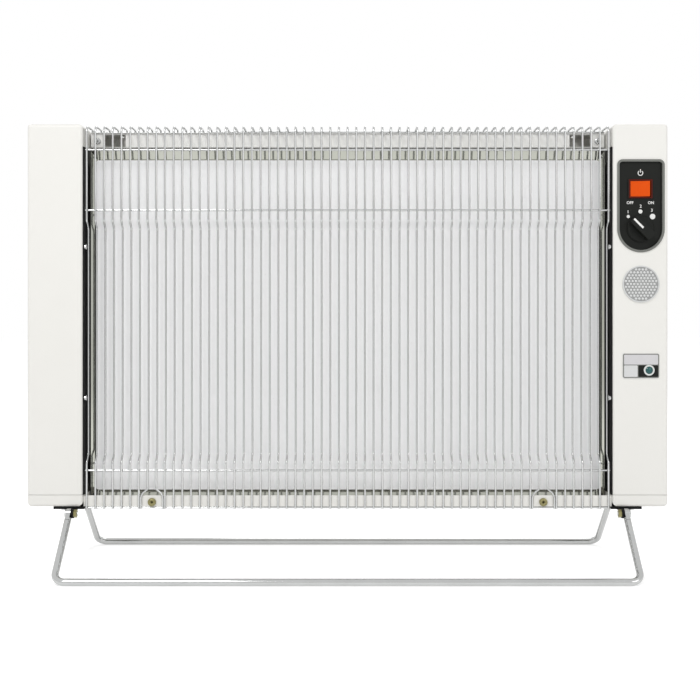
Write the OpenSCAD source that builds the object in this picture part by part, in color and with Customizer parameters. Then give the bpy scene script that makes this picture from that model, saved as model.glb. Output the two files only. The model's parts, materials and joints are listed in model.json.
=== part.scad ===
// Free-standing ceramic panel heater. Two side casings carry a chrome wire guard that wraps
// over the top, a white ceramic panel in a mirror tray, and two folding wire stands.
// X runs to the right, Y to the back and Z up. The floor is at Z = 0.

/* [Body] */
// Overall width across both side casings
body_width = 820; // [760:2:900]
// Height of the casings, base caps included
body_height = 490; // [476:1:560]
// Depth of the casings from front to back
body_depth = 80; // [78:1:96]
// Height of the body's underside above the floor
ground_clearance = 81; // [70:1:100]
// Width of one side casing
casing_width = 71; // [69:1:84]
// Sheet thickness of the casings
casing_wall = 1.6; // [1.2:0.1:2.5]
// Corner radius of a casing in front view
casing_corner = 6; // [4:0.5:9]
// Radius along the front and rear edges of a casing
casing_edge = 4; // [3:0.5:6]
// Height of the base cap under a casing
base_cap_height = 15; // [13:0.5:18]
// Corner radius of a base cap in front view
cap_corner = 8; // [4:0.5:10]
// Open seam between a casing and its base cap
cap_seam = 0.5; // [0.2:0.1:1]
// Width of the flange round the open inner side of a casing
casing_flange = 9; // [6:0.5:12]

/* [Chassis] */
// Sheet thickness of rails, tray and rear cover
sheet = 0.8; // [0.8:0.1:1.6]
// Thickness of the black plates on the inner sides
side_plate = 1.5; // [1:0.1:2.5]
// Drop from the body's top to the black plates' top edge
side_plate_drop = 29; // [16:1:40]
// Height of the front lip of the lower rail
rail_lip = 14; // [11:0.5:15]
// Height of the rear lip of the lower rail
rail_rear_lip = 7.5; // [5:0.5:9]
// Height of the top rail's front face
top_rail_height = 18.5; // [14:0.5:24]
// Gap from the body's top down to the top rail
top_rail_drop = 6; // [5:0.5:9]
// Width of the windows near the ends of the top rail
rail_window_width = 27; // [18:1:34]
// Height of the windows near the ends of the top rail
rail_window_height = 16; // [8:0.5:16]
// Distance of a window's centre from the rail's end
rail_window_inset = 32.2; // [30:0.2:60]
// Width of the flange on top of the top rail
rail_flange = 14; // [12:0.5:18]
// Number of slots in each row of the rear cover
slot_count = 26; // [12:1:28]
// Width of one slot
slot_width = 4; // [3:0.5:6]
// Length of one slot
slot_length = 60; // [30:5:80]
// Solid width left at each end of a row of slots
slot_margin = 36; // [24:1:80]
// Length of the slots in the rear cover's top
top_slot_length = 12; // [8:0.5:14]
// Length of the slots in the lower rail
rail_slot_length = 16; // [10:1:20]

/* [Panel] */
// Strip of the tray left free beside the ceramic panel
panel_side_gap = 9.2; // [8.4:0.2:30]
// Drop from the body's top to the panel's upper edge
panel_drop = 43; // [40:1:60]
// Thickness of the ceramic panel
panel_thickness = 6; // [4:0.5:8]
// Corner radius of the ceramic panel
panel_corner = 4; // [2:0.5:10]
// Height of the panel's lower edge above the body's underside
panel_bottom = 18; // [16:0.5:22]
// Distance of the panel's face behind the casings' front
panel_setback = 28; // [26:0.5:30]
// Thickness of the insulation board behind the element
insulation_thickness = 5; // [3:0.5:6]
// Thickness of the mica sheet that carries the element
mica_thickness = 1; // [0.6:0.1:1.5]
// Number of passes of the element ribbon
ribbon_passes = 12; // [6:2:16]
// Width of the element ribbon
ribbon_width = 9; // [5:0.5:14]
// Depth of the mirror tray
tray_depth = 8; // [6.5:0.5:9]
// Height of the tray's lower edge above the body's underside
tray_bottom = 8; // [7.8:0.1:10]
// Drop from the body's top to the tray's upper edge
tray_drop = 29; // [26:1:36]
// Width of the tray's sloping rim at the sides and at the bottom
tray_rim = 9; // [6:0.5:9]
// Width of the tray's sloping rim at the top
tray_top_rim = 13; // [6:0.5:14]
// Depth over which the rim slopes
tray_rim_depth = 2.5; // [1.5:0.25:4]
// Diameter of the ceramic spacers between the tray and the panel
spacer_d = 14; // [8:1:20]

/* [Guard] */
// Diameter of a guard wire
wire_d = 2.6; // [2:0.1:3]
// Distance between upright guard wires
wire_pitch = 11.15; // [10:0.05:13]
// Least gap between the outermost wires' centres and the black plates
guard_side_gap = 2.4; // [2.4:0.1:8]
// Distance of the wires' centres behind the casings' front
guard_setback = 3; // [2.6:0.1:4]
// Depth of the stepped-back middle of the guard
guard_recess = 9; // [6:0.5:12]
// Height at which the wires step back
recess_low = 61.5; // [54:0.5:80]
// Height at which the wires step forward again
recess_high = 361.5; // [330:0.5:370]
// Height of the lowest inner cross wire
low_cross = 46; // [36:1:52]
// Height of the next cross wire above the upper step
middle_cross = 18.5; // [12:0.5:40]
// Drop from the body's top to the uppermost cross wire
high_cross_drop = 32.5; // [26:0.5:40]
// Bend radius over the top, at the wire's centre
top_bend = 7; // [5:0.5:10]
// Drop from the casings' top to the guard's top
guard_top_drop = 1.2; // [0.5:0.1:2]
// Diameter of the rear cross bar
rear_bar_d = 2.4; // [2:0.1:3]
// Height of the guard's lowest cross wire below the body's underside
guard_drop = 1.6; // [1.6:0.1:2.5]
// Places of the fixing screws, counted in wires from the guard's edge
screw_wire = 7; // [5:1:10]
// Height at which the wires beside a fixing screw spread
spread_height = 23; // [20:1:30]

/* [Stand] */
// Diameter of a stand rod
rod_d = 9; // [8:0.5:10]
// Distance of a rod's centre outwards from a casing's inner side
rod_inset = 15.5; // [13:0.5:24]
// Distance of the stand pivots from the middle of the depth
pivot_y = 46; // [46:0.5:60]
// Distance of the pivots below the body's underside
pivot_drop = 7.5; // [7.5:0.5:12]
// Distance of the stand bars from the middle of the depth
bar_y = 126; // [110:1:140]
// Bend radius of a stand corner, at the rod's centre
stand_bend = 13; // [10:1:30]
// Thickness of a rod's flattened end
eye_thickness = 5; // [4:0.5:6]
// Radius of a rod's flattened end
eye_radius = 6.5; // [5.5:0.5:6.5]
// Diameter of a pivot bolt
bolt_d = 5; // [4:0.5:6]
// Radial clearance of a bolt in an eye
bolt_clearance = 0.08; // [0.05:0.01:0.1]
// Thickness of a leg bracket's plate and ears
bracket_thickness = 3; // [2:0.5:3.5]
// Width of a leg bracket
bracket_width = 59; // [50:1:70]
// Distance of a leg bracket's centre outwards from a casing's inner side
bracket_inset = 8; // [6:0.5:12]

/* [Controls] */
// Width of the control panel
control_width = 60.6; // [56:0.2:62]
// Height of the control panel
control_height = 119; // [112:1:130]
// Height of the control panel's lower end above the body's underside
control_bottom = 325.6; // [280:0.2:340]
// Corner radius at the control panel's top
control_corner = 7; // [5:0.5:10]
// Width of the grey rim round the control panel
rim_width = 2.9; // [2.5:0.1:4]
// Depth of the black plate behind the casing's face
plate_recess = 2; // [1:0.1:2.5]
// Thickness of the black plate
plate_thickness = 1.6; // [1.2:0.1:2]
// Height of the rocker's centre above the body's underside
rocker_z = 407; // [398:1:412]
// Width of the rocker button
rocker_width = 25.2; // [22:0.2:26]
// Height of the rocker button
rocker_height = 19.6; // [16:0.2:21]
// Turn of the rocker to each side
rocker_turn = 8; // [5:1:9]
// Height of the knob's centre above the body's underside
knob_z = 356; // [350:1:358]
// Radius of the knob's base
knob_radius = 17; // [14:0.5:18]
// Width of the knob's grip
grip_width = 12; // [8:0.5:14]
// Height of the knob above the black plate
knob_height = 15; // [12:0.5:20]
// Angle of the knob's first position from straight up
knob_start = 45; // [30:5:60]
// Diameter of the selector's shaft
shaft_d = 6; // [5:0.5:6.5]
// Radius of the round badge
badge_radius = 23.5; // [18:0.5:26]
// Height of the round badge's centre above the body's underside
badge_z = 285; // [270:1:290]
// Width of the small plate
label_width = 46.5; // [40:0.5:54]
// Height of the small plate
label_height = 31.4; // [28:0.2:38]
// Height of the small plate's centre above the body's underside
label_z = 180.5; // [150:0.5:200]
// Thickness of the round badge and the small plate
trim_thickness = 1.2; // [0.8:0.1:2]
// Radius of the pilot lamp's ring
pilot_radius = 6.8; // [5:0.2:7.4]
// Radius of the cord inlet's bore
inlet_bore = 4.5; // [3.5:0.1:5]
// Height of the cord inlet above the body's underside
inlet_z = 45; // [40:1:80]

/* [Hidden] */

$fn = 48;
wire_fn = 16;
// Gap between pieces that seat on each other
fit = 0.3;
// Gap between pieces that lie close to each other
close_fit = 0.1;
// Length by which a cut runs past the face that it opens
past = 1;

white = [0.93, 0.93, 0.91];
pale_grey = [0.72, 0.73, 0.72];
black = [0.06, 0.06, 0.07];
chrome = [0.78, 0.79, 0.81];
zinc = [0.45, 0.42, 0.25];

half_w = body_width / 2;
half_d = body_depth / 2;
inner_x = half_w - casing_width;
base_z = ground_clearance;
top_z = base_z + body_height;
front_y = -half_d;

// Chassis
plate_in_x = inner_x - side_plate;
chassis_x = plate_in_x - fit;
cap_floor = casing_wall + 1;
cap_lip = 6;
rail_top_z = top_z - top_rail_drop;
rail_face_z = rail_top_z - top_rail_height;
side_plate_top = body_height - side_plate_drop;
cover_front = sheet + fit;
low_slot_row = 95;
high_slot_drop = 130;
slot_rows = [low_slot_row, body_height - high_slot_drop];
slot_pitch = 2 * (chassis_x - slot_margin) / (slot_count - 1);
rail_window_low = rail_face_z + sheet;
rail_window_x = chassis_x - rail_window_inset;
top_screw_x = chassis_x - 9;
top_screw_z = rail_face_z + top_rail_height / 2 - 1;
rail_screw_inset = 13;
rail_screw_y = 18;
side_screw_rows = [139, 333];
side_screw_r = 3.5;
side_screw_y = half_d - casing_flange / 2 - 1;

// Panel, from its face back to the tray
panel_y = front_y + panel_setback;
mica_y = panel_y + panel_thickness + close_fit;
ribbon_thickness = 0.4;
ribbon_y = mica_y + mica_thickness;
insulation_y = ribbon_y + ribbon_thickness + close_fit;
spacer_y = insulation_y + insulation_thickness + close_fit;
tray_floor_y = tray_depth;
tray_back_y = tray_floor_y + sheet;
tray_top = body_height - tray_drop;
panel_width = 2 * (chassis_x - panel_side_gap);
panel_height = body_height - panel_drop - panel_bottom;
panel_mid_z = base_z + panel_bottom + panel_height / 2;
ribbon_margin = 30;
ribbon_pitch = (panel_height - 2 * ribbon_margin) / (ribbon_passes - 1);
ribbon_length = panel_width - 2 * ribbon_margin;
spacer_columns = [-panel_width * 0.36, 0, panel_width * 0.36];
spacer_rows = [-panel_height * 0.34, panel_height * 0.34];
backing_margin = 6;
stud_x = ribbon_length / 2 - ribbon_width;
stud_rows = [-1, 1] * (panel_height / 2 - ribbon_margin);
stud_r = 2;
stud_nut_r = 3.8;
stud_nut_h = 2.4;
bushing_wall = 2;
stud_reach = 18;
stay_x = 140;
stay_width = 30;
stay_bottom = 25;
stay_top = tray_top - tray_top_rim - 4;
stay_tab = 10;
cover_screw_inset = 15;
cover_screw_rows = [stay_bottom + cover_screw_inset, stay_top - cover_screw_inset];

// Guard
guard_y = front_y + guard_setback;
guard_top_z = top_z - guard_top_drop - wire_d / 2;
guard_bottom_z = base_z - guard_drop;
wire_count = 2 * floor((plate_in_x - guard_side_gap) / wire_pitch) + 1;
guard_half = (wire_count - 1) / 2 * wire_pitch;
cross_half = guard_half + 2;
weld_gap = 0.02;
cross_y = guard_y + wire_d + weld_gap;
rear_bar_z = guard_top_z - (wire_d + rear_bar_d) / 2 - weld_gap;
rear_bar_y = -rear_bar_d;
hook_heights = [low_cross, recess_high + middle_cross];
cross_heights = [hook_heights[0], hook_heights[1], body_height - high_cross_drop];
hook_reach = 1;
hook_hole = 2;
guard_screw_x = guard_half - (screw_wire + 0.5) * wire_pitch;
spread = wire_pitch - wire_d - weld_gap;
spread_bend = spread / 2;
step_bend = guard_recess / 2;
least_rod = 0.001;
guard_third = floor(wire_count / 3);
guard_screw_r = 5.2;
guard_screw_h = 2.6;
guard_screw_z = base_z + guard_screw_r + 0.4;
rail_lip_y = guard_y + wire_d / 2 + fit;

// Stands and brackets
pivot_z = base_z - pivot_drop;
bar_z = rod_d / 2;
arm_run = bar_y - pivot_y;
arm_drop = pivot_z - bar_z;
arm_length = round(100 * norm([arm_run, arm_drop])) / 100;
arm_lean = atan2(arm_run, arm_drop);
rod_x = inner_x + rod_inset;
eye_neck = 9;
eye_side = 0.5;
eye_lap = 4;
ear_out_x = rod_x - eye_thickness / 2 - fit;
ear_in_x = ear_out_x - bracket_thickness;
ear_radius = 6;
bolt_head_r = 5;
bolt_head_h = 2.5;
nut_r = 5.2;
nut_h = 4;
bolt_end = 1;
ear_root = 16;
bracket_x = inner_x + bracket_inset;
bracket_screw_y = 26;
bracket_screw_inset = 27;
bracket_screw_x = inner_x + bracket_screw_inset;
notch_gap = 1;
small_screw_r = 2;
small_head_r = 4;
small_head_h = 2;

// Controls
control_shift = 0.5;
control_x = half_w - casing_width / 2 + control_shift;
control_round_z = base_z + control_bottom + control_width / 2;
control_top_z = base_z + control_bottom + control_height;
plate_y = front_y + plate_recess;
plate_back_y = plate_y + plate_thickness;
bezel_lip = 1.2;
bezel_skirt = 0.9;
rocker_mid_z = base_z + rocker_z;
rocker_pivot_y = plate_y + 6.5;
rocker_rise = 8;
rocker_dip = 1.2;
rocker_below = 5;
rocker_gap = 0.5;
rocker_sweep = rocker_width / 2 * cos(rocker_turn)
    + (rocker_rise + rocker_dip) * sin(rocker_turn);
housing_half_x = rocker_sweep + 0.25;
housing_half_z = rocker_height / 2 + rocker_gap;
housing_wall = 1;
housing_flange = 1.5;
housing_depth = 19;
blade_length = 8;
blade_places = [-8, 0, 8];
blade_half_width = 3.15;
blade_half_thickness = 0.4;
rocker_heel = 5;
rocker_pin_r = 1.5;
pin_clearance = 0.06;
knob_mid_z = base_z + knob_z;
knob_tip_y = plate_y - knob_height;
knob_base_h = 3;
knob_cap = 4;
nut_pocket_r = 8.5;
bushing_r = 4.5;
bushing_nut_r = 7.5;
bushing_nut_h = 1.6;
switch_size = 30;
switch_depth = 16;
switch_floor = 2;
shaft_clearance = 0.06;
press_fit = 0.01;
pointer_length = 17;
pointer_width = 2.6;
pointer_depth = 0.4;
pilot_inset = 13.2;
pilot_drop = 5.6;
pilot_x = control_x + label_width / 2 - pilot_inset;
pilot_mid_z = base_z + label_z - pilot_drop;
pilot_hole = pilot_radius - 1.4;
lens_radius = pilot_radius - 2;
lamp_radius = lens_radius - 0.4;
lamp_length = 22;
lens_dome = 1.6;
ring_height = 1.6;
ring_reach = 4;
inlet_x = control_x;
inlet_flange_r = inlet_bore + 6;
inlet_neck_r = inlet_bore + 3;
inlet_flange_h = 2;
inlet_reach = 3;

// Parts inside the right casing and behind the tray
block_bottom = 90;
block_top = 150;
block_front = -9;
block_back = 21;
block_depth = 18;
block_holes = [102, 120, 138];
block_hole_r = 4;
block_hole_depth = 10;
wire_hole_y = 25.5;
wire_hole_z = 120;
wire_hole_r = 4;
cutout_inset = 87;
cutout_x = -(chassis_x - cutout_inset);
cutout_drop = 80;
cutout_r = 8;
cutout_flange_x = 14;
cutout_flange_z = 4;
tip_switch_inset = [12, 34];
tip_switch_half_d = 14;
tip_switch_h = 26;

function unit(v) = v / norm(v);
function heading(v) = atan2(v[1], v[0]);
function turn(p, i) = let(t = heading(p[i + 1] - p[i]) - heading(p[i] - p[i - 1]))
    t > 180 ? t - 360 : t < -180 ? t + 360 : t;
function setback(p, i, r) = i > 0 && i < len(p) - 1 ? r[i - 1] * tan(abs(turn(p, i)) / 2) : 0;

// Straight round rod between two points of the XY plane
module rod(a, b, d, facets) {
    translate([a[0], a[1], 0])
        rotate([0, 90, heading(b - a)])
            cylinder(h = norm(b - a), d = d, $fn = facets);
}

// Quarter-round or shallower bend of a path at its point i
module bend(p, i, d, r, facets) {
    along = unit(p[i] - p[i - 1]);
    side = sign(turn(p, i));
    start = p[i] - along * setback(p, i, r);
    centre = start + [-along[1], along[0]] * side * r[i - 1];
    first = heading(start - centre);
    translate([centre[0], centre[1], 0])
        rotate(side > 0 ? first : first + turn(p, i))
            rotate_extrude(angle = abs(turn(p, i)), $fn = 2 * facets)
                translate([r[i - 1], 0])
                    circle(d = d, $fn = facets);
}

// Round rod along a path in the XY plane, with one bend radius for each inner point
module bent_rod(p, d, r, facets) {
    for (k = [0 : 2 * len(p) - 4]) {
        i = floor(k / 2);
        along = unit(p[i + 1] - p[i]);
        a = p[i] + along * setback(p, i, r);
        b = p[i + 1] - along * setback(p, i + 1, r);
        if (k % 2 == 1) bend(p, i + 1, d, r, facets);
        else if (norm(b - a) > least_rod) rod(a, b, d, facets);
    }
}

// Turns a path's plane from XY to YZ
module in_side_view(x = 0) {
    translate([x, 0, 0]) rotate([90, 0, 90]) children();
}

// Rectangle with its own corner radii at the top and at the bottom
module soft_rect(x0, x1, z0, z1, top_r, bottom_r) {
    translate([x0, z0 + bottom_r]) square([x1 - x0, z1 - z0 - top_r - bottom_r]);
    translate([x0 + top_r, z0 + bottom_r])
        square([x1 - x0 - 2 * top_r, z1 - z0 - bottom_r]);
    translate([x0 + bottom_r, z0]) square([x1 - x0 - 2 * bottom_r, z1 - z0 - top_r]);
    if (top_r > 0)
        for (x = [x0 + top_r, x1 - top_r]) translate([x, z1 - top_r]) circle(r = top_r);
    if (bottom_r > 0)
        for (x = [x0 + bottom_r, x1 - bottom_r])
            translate([x, z0 + bottom_r]) circle(r = bottom_r);
}

// Pulls a front-view outline from one depth to another
module pull(y0, y1) {
    translate([0, y1, 0]) rotate([90, 0, 0]) linear_extrude(y1 - y0) children();
}

// Casing-shaped solid, rounded in front, side and top view, and shrunk by an inset
module casing_form(z0, z1, top_r, bottom_r, inset) {
    x0 = inner_x + inset;
    x1 = half_w - inset;
    y1 = half_d - inset;
    edge_r = casing_edge - inset;
    top_edge = top_r > 0 ? edge_r : 0;
    bottom_edge = bottom_r > 0 ? edge_r : 0;
    intersection() {
        pull(-y1 - past, y1 + past) soft_rect(x0, x1, z0, z1, top_r, bottom_r);
        translate([0, 0, z0 - past])
            linear_extrude(z1 - z0 + 2 * past) soft_rect(x0, x1, -y1, y1, edge_r, edge_r);
        translate([x0 - past, 0, 0])
            rotate([90, 0, 90])
                linear_extrude(x1 - x0 + 2 * past)
                    soft_rect(-y1, y1, z0, z1, top_edge, bottom_edge);
    }
}

// Cylinder along X, Y or Z from a point
module x_cyl(x0, x1, y, z, r) {
    translate([x0, y, z]) rotate([0, 90, 0]) cylinder(h = x1 - x0, r = r);
}

module y_cyl(x, y0, y1, z, r) {
    translate([x, y1, z]) rotate([90, 0, 0]) cylinder(h = y1 - y0, r = r);
}

// Hole along Z for a small screw, through a wall between two heights
module z_hole(x, y, z0, z1) {
    translate([x, y, z0 - past]) cylinder(h = z1 - z0 + 2 * past, r = small_screw_r + close_fit);
}

module span(x0, x1, y0, y1, z0, z1) {
    translate([x0, y0, z0]) cube([x1 - x0, y1 - y0, z1 - z0]);
}

module on_left() {
    mirror([1, 0, 0]) children();
}

// Outline of the control panel: square shoulders at the top, a full round at the bottom
module control_outline(inset) {
    r = control_width / 2 - inset;
    translate([control_x, control_round_z]) circle(r = r);
    soft_rect(control_x - r, control_x + r, control_round_z, control_top_z - inset,
        control_corner - inset, 0);
}

module casing_shell() {
    difference() {
        casing_form(base_z + base_cap_height + cap_seam, top_z, casing_corner, 0, 0);
        difference() {
            translate([0, 0, -past])
                casing_form(base_z + base_cap_height, top_z - casing_wall + past,
                    casing_corner - casing_wall, 0, casing_wall);
            span(inner_x, inner_x + casing_wall, -half_d, half_d, base_z, top_z);
        }
        span(inner_x - past, inner_x + casing_wall + past, -half_d + casing_flange,
            half_d - casing_flange, base_z + base_cap_height + cap_seam + casing_flange,
            base_z + side_plate_top - casing_flange);
        for (s = side_screw_places())
            x_cyl(inner_x - past, inner_x + casing_wall + past, s[0], s[1],
                small_screw_r + close_fit);
    }
}

module left_casing() {
    color(white) on_left() casing_shell();
}

module right_casing() {
    color(white) difference() {
        casing_shell();
        pull(front_y - past, front_y + casing_wall + past)
            control_outline(rim_width - bezel_skirt - close_fit);
        y_cyl(pilot_x, front_y - past, front_y + casing_wall + past, pilot_mid_z,
            pilot_hole + close_fit);
        y_cyl(inlet_x, half_d - casing_wall - past, half_d + past, base_z + inlet_z,
            inlet_neck_r + close_fit);
    }
}

// Shallow tray under a casing, with a lip that locates inside the casing's walls
module base_cap() {
    lip_top = base_z + base_cap_height + cap_lip;
    lip_inset = casing_wall + fit;
    difference() {
        union() {
            casing_form(base_z, base_z + base_cap_height, 0, cap_corner, 0);
            difference() {
                span(inner_x + lip_inset, half_w - lip_inset, -half_d + lip_inset,
                    half_d - lip_inset, base_z + base_cap_height - past, lip_top);
                for (x = [inner_x + lip_inset, half_w - lip_inset])
                    for (y = [-half_d + lip_inset, half_d - lip_inset])
                        translate([x, y, lip_top - cap_lip / 2])
                            cube([2 * casing_edge, 2 * casing_edge, cap_lip + 2 * fit],
                                center = true);
            }
        }
        span(inner_x + 2 * casing_wall, half_w - 2 * casing_wall,
            -half_d + 2 * casing_wall, half_d - 2 * casing_wall,
            base_z + cap_floor, lip_top + past);
        for (y = [-bracket_screw_y, bracket_screw_y])
            z_hole(bracket_screw_x, y, base_z, base_z + cap_floor);
    }
}

module left_base_cap() {
    color(white) on_left() base_cap();
}

module right_base_cap() {
    color(white) base_cap();
}

function side_screw_places() = [for (z = side_screw_rows)
    for (y = [-side_screw_y, side_screw_y]) [y, base_z + z]];

// Black plate that closes a casing's inner side, with holes for the guard's hooks
module inner_plate() {
    difference() {
        span(plate_in_x, inner_x, -half_d + casing_wall, half_d - casing_wall,
            base_z + base_cap_height + fit, base_z + side_plate_top);
        for (s = side_screw_places())
            x_cyl(plate_in_x - past, inner_x + past, s[0], s[1], small_screw_r + close_fit);
        for (z = hook_heights)
            x_cyl(plate_in_x - past, inner_x + past, cross_y, base_z + z, hook_hole);
    }
}

module left_side_plate() {
    color(black) on_left() inner_plate();
}

module right_side_plate() {
    color(black) difference() {
        inner_plate();
        x_cyl(plate_in_x - past, inner_x + past, wire_hole_y, base_z + wire_hole_z, wire_hole_r);
    }
}

// Places of the slots along X, the outermost as far in as the margin asks
function slot_places() = [for (i = [0 : slot_count - 1])
    (i - (slot_count - 1) / 2) * slot_pitch];

module slot(length) {
    square([slot_width, length], center = true);
    for (y = [-length / 2, length / 2]) translate([0, y]) circle(d = slot_width);
}

// Channel under the panel, open at the top, with a tall front lip
module lower_rail() {
    color(white) difference() {
        in_side_view(-inner_x + fit)
            linear_extrude(2 * (inner_x - fit)) {
                translate([rail_lip_y, base_z]) square([sheet, rail_lip]);
                translate([rail_lip_y, base_z]) square([sheet - rail_lip_y, sheet]);
                translate([0, base_z]) square([sheet, rail_rear_lip]);
            }
        for (x = [-guard_screw_x, guard_screw_x])
            y_cyl(x, rail_lip_y - past, rail_lip_y + sheet + past, guard_screw_z,
                small_screw_r + close_fit);
        for (x = [-1, 1])
            z_hole(x * (inner_x - rail_screw_inset), -rail_screw_y, base_z, base_z + sheet);
        for (x = slot_places())
            translate([x, rail_lip_y / 2, base_z - past])
                linear_extrude(sheet + 2 * past) slot(rail_slot_length);
    }
}

// Angle over the tray's top edge, with two windows and the tabs for its screws
module top_rail() {
    color(pale_grey) difference() {
        in_side_view(-chassis_x)
            linear_extrude(2 * chassis_x) {
                translate([0, rail_face_z]) square([sheet, top_rail_height]);
                translate([0, rail_top_z - sheet]) square([rail_flange, sheet]);
            }
        for (s = [-1, 1]) {
            span(s * rail_window_x - rail_window_width / 2,
                s * rail_window_x + rail_window_width / 2, -past, sheet + past,
                rail_window_low, rail_window_low + rail_window_height);
            y_cyl(s * top_screw_x, -past, sheet + past, top_screw_z,
                small_screw_r + close_fit);
        }
    }
}

// White pan with a slotted back and a slotted top
module rear_cover() {
    color(white) difference() {
        union() {
            span(-chassis_x, chassis_x, half_d - sheet, half_d, base_z, rail_top_z - sheet);
            span(-chassis_x, chassis_x, rail_flange + fit, half_d, rail_top_z - sheet,
                rail_top_z);
            span(-chassis_x, chassis_x, cover_front, half_d, base_z, base_z + sheet);
            for (s = [-1, 1])
                span(s > 0 ? chassis_x - sheet : -chassis_x,
                    s > 0 ? chassis_x : -chassis_x + sheet,
                    rail_flange + fit, half_d, base_z, rail_top_z);
        }
        for (z = slot_rows, x = slot_places())
            translate([x, half_d + past, base_z + z])
                rotate([90, 0, 0]) linear_extrude(sheet + 2 * past) slot(slot_length);
        for (x = slot_places())
            translate([x, (rail_flange + half_d) / 2, rail_top_z - sheet - past])
                linear_extrude(sheet + 2 * past) slot(top_slot_length);
        for (p = cover_screw_places())
            y_cyl(p[0], half_d - sheet - past, half_d + past, p[1],
                small_screw_r + close_fit);
        for (s = [-1, 1], p = side_screw_places())
            if (p[0] > 0)
                mirror([s < 0 ? 1 : 0, 0, 0])
                    x_cyl(chassis_x - sheet - past, chassis_x + past, p[0], p[1],
                        small_screw_r + close_fit);
        x_cyl(chassis_x - sheet - past, chassis_x + past, wire_hole_y, base_z + wire_hole_z,
            wire_hole_r);
    }
}

function cover_screw_places() = [for (x = [-stay_x, stay_x])
    for (z = cover_screw_rows) [x, base_z + z]];

function reversed(list) = [for (i = [len(list) - 1 : -1 : 0]) list[i]];

// Pan whose walls follow a list of points from the front to the back, each with its inset
// at the sides and at the bottom, its inset at the top and its depth
module pan(walls) {
    back = reversed(walls);
    intersection() {
        translate([0, 0, base_z])
            linear_extrude(body_height)
                polygon(concat([for (w = walls) [-chassis_x + w[0], w[2]]],
                    [for (w = back) [chassis_x - w[0], w[2]]]));
        in_side_view(-half_w)
            linear_extrude(body_width)
                polygon(concat([for (w = walls) [w[2], base_z + tray_bottom + w[0]]],
                    [for (w = back) [w[2], base_z + tray_top - w[1]]]));
    }
}

// Mirror-bright tray with a shallow sloping rim and mitred corners
module mirror_tray() {
    color(chrome) difference() {
        pan([[0, 0, 0], [0, 0, sheet],
            [tray_rim - sheet, tray_top_rim - sheet, tray_rim_depth + sheet],
            [tray_rim - sheet, tray_top_rim - sheet, tray_back_y]]);
        pan([[0, 0, -past], [0, 0, 0], [tray_rim, tray_top_rim, tray_rim_depth],
            [tray_rim, tray_top_rim, tray_floor_y]]);
        for (z = stud_rows)
            y_cyl(stud_x, tray_floor_y - past, tray_back_y + past, panel_mid_z + z,
                stud_r + bushing_wall + 2 * close_fit);
    }
}

// Upright channel that ties the tray to the rear cover
module tray_stay() {
    y0 = tray_back_y + close_fit;
    y1 = half_d - sheet - close_fit;
    difference() {
        span(stay_x - stay_width / 2, stay_x + stay_width / 2, y0, y1, base_z + stay_bottom,
            base_z + stay_top);
        span(stay_x - stay_width / 2 + sheet, stay_x + stay_width / 2 - sheet, y0 + sheet,
            y1 + past, base_z, top_z);
    }
    for (z = cover_screw_rows)
        difference() {
            span(stay_x - stay_width / 2 + sheet, stay_x + stay_width / 2 - sheet,
                y1 - sheet, y1, base_z + z - stay_tab, base_z + z + stay_tab);
            y_cyl(stay_x, y1 - sheet - past, y1 + past, base_z + z,
                small_screw_r + close_fit);
        }
}

module left_tray_stay() {
    color(pale_grey) on_left() tray_stay();
}

module right_tray_stay() {
    color(pale_grey) tray_stay();
}

// Flat board centred on the panel, with rounded corners
module board(w, h, y, t, r) {
    pull(y, y + t)
        soft_rect(-w / 2, w / 2, panel_mid_z - h / 2, panel_mid_z + h / 2, r, r);
}

module ceramic_panel() {
    color(white) board(panel_width, panel_height, panel_y, panel_thickness, panel_corner);
}

module mica_sheet() {
    color([0.72, 0.62, 0.42])
        board(panel_width - 2 * backing_margin, panel_height - 2 * backing_margin, mica_y,
            mica_thickness, panel_corner);
}

// Flat ribbon that runs to and fro across the panel, with both ends at the right
module heating_element() {
    low = panel_mid_z - (ribbon_passes - 1) * ribbon_pitch / 2 - ribbon_width / 2;
    color([0.45, 0.4, 0.36])
        pull(ribbon_y, ribbon_y + ribbon_thickness) {
            for (i = [0 : ribbon_passes - 1])
                translate([-ribbon_length / 2, low + i * ribbon_pitch])
                    square([ribbon_length, ribbon_width]);
            for (i = [0 : ribbon_passes - 2])
                translate([(i % 2 == 0 ? -1 : 1) * (ribbon_length - ribbon_width) / 2
                    - ribbon_width / 2, low + i * ribbon_pitch])
                    square([ribbon_width, ribbon_pitch + ribbon_width]);
        }
}

module insulation_board() {
    color([0.8, 0.78, 0.72]) difference() {
        board(panel_width - 2 * backing_margin, panel_height - 2 * backing_margin,
            insulation_y, insulation_thickness, panel_corner);
        for (z = stud_rows)
            y_cyl(stud_x, insulation_y - past, spacer_y + past, panel_mid_z + z,
                stud_r + close_fit);
    }
}

module panel_spacers() {
    color([0.85, 0.83, 0.78])
        for (x = spacer_columns, z = spacer_rows)
            y_cyl(x, spacer_y, tray_floor_y - close_fit, panel_mid_z + z, spacer_d / 2);
}

// Studs from the element's ends, each with a nut behind the tray
module element_studs() {
    nut_y = tray_back_y + bushing_wall + close_fit;
    color(zinc)
        for (z = stud_rows) {
            y_cyl(stud_x, ribbon_y + ribbon_thickness, stud_reach, panel_mid_z + z, stud_r);
            y_cyl(stud_x, nut_y, nut_y + stud_nut_h, panel_mid_z + z, stud_nut_r);
        }
}

// Ceramic bushings that keep the studs clear of the tray
module stud_bushings() {
    color([0.85, 0.83, 0.78])
        for (z = stud_rows)
            difference() {
                y_cyl(stud_x, spacer_y, tray_back_y + bushing_wall, panel_mid_z + z,
                    stud_r + bushing_wall);
                y_cyl(stud_x, spacer_y - past, tray_back_y + bushing_wall + past,
                    panel_mid_z + z, stud_r + close_fit);
            }
}

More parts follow.
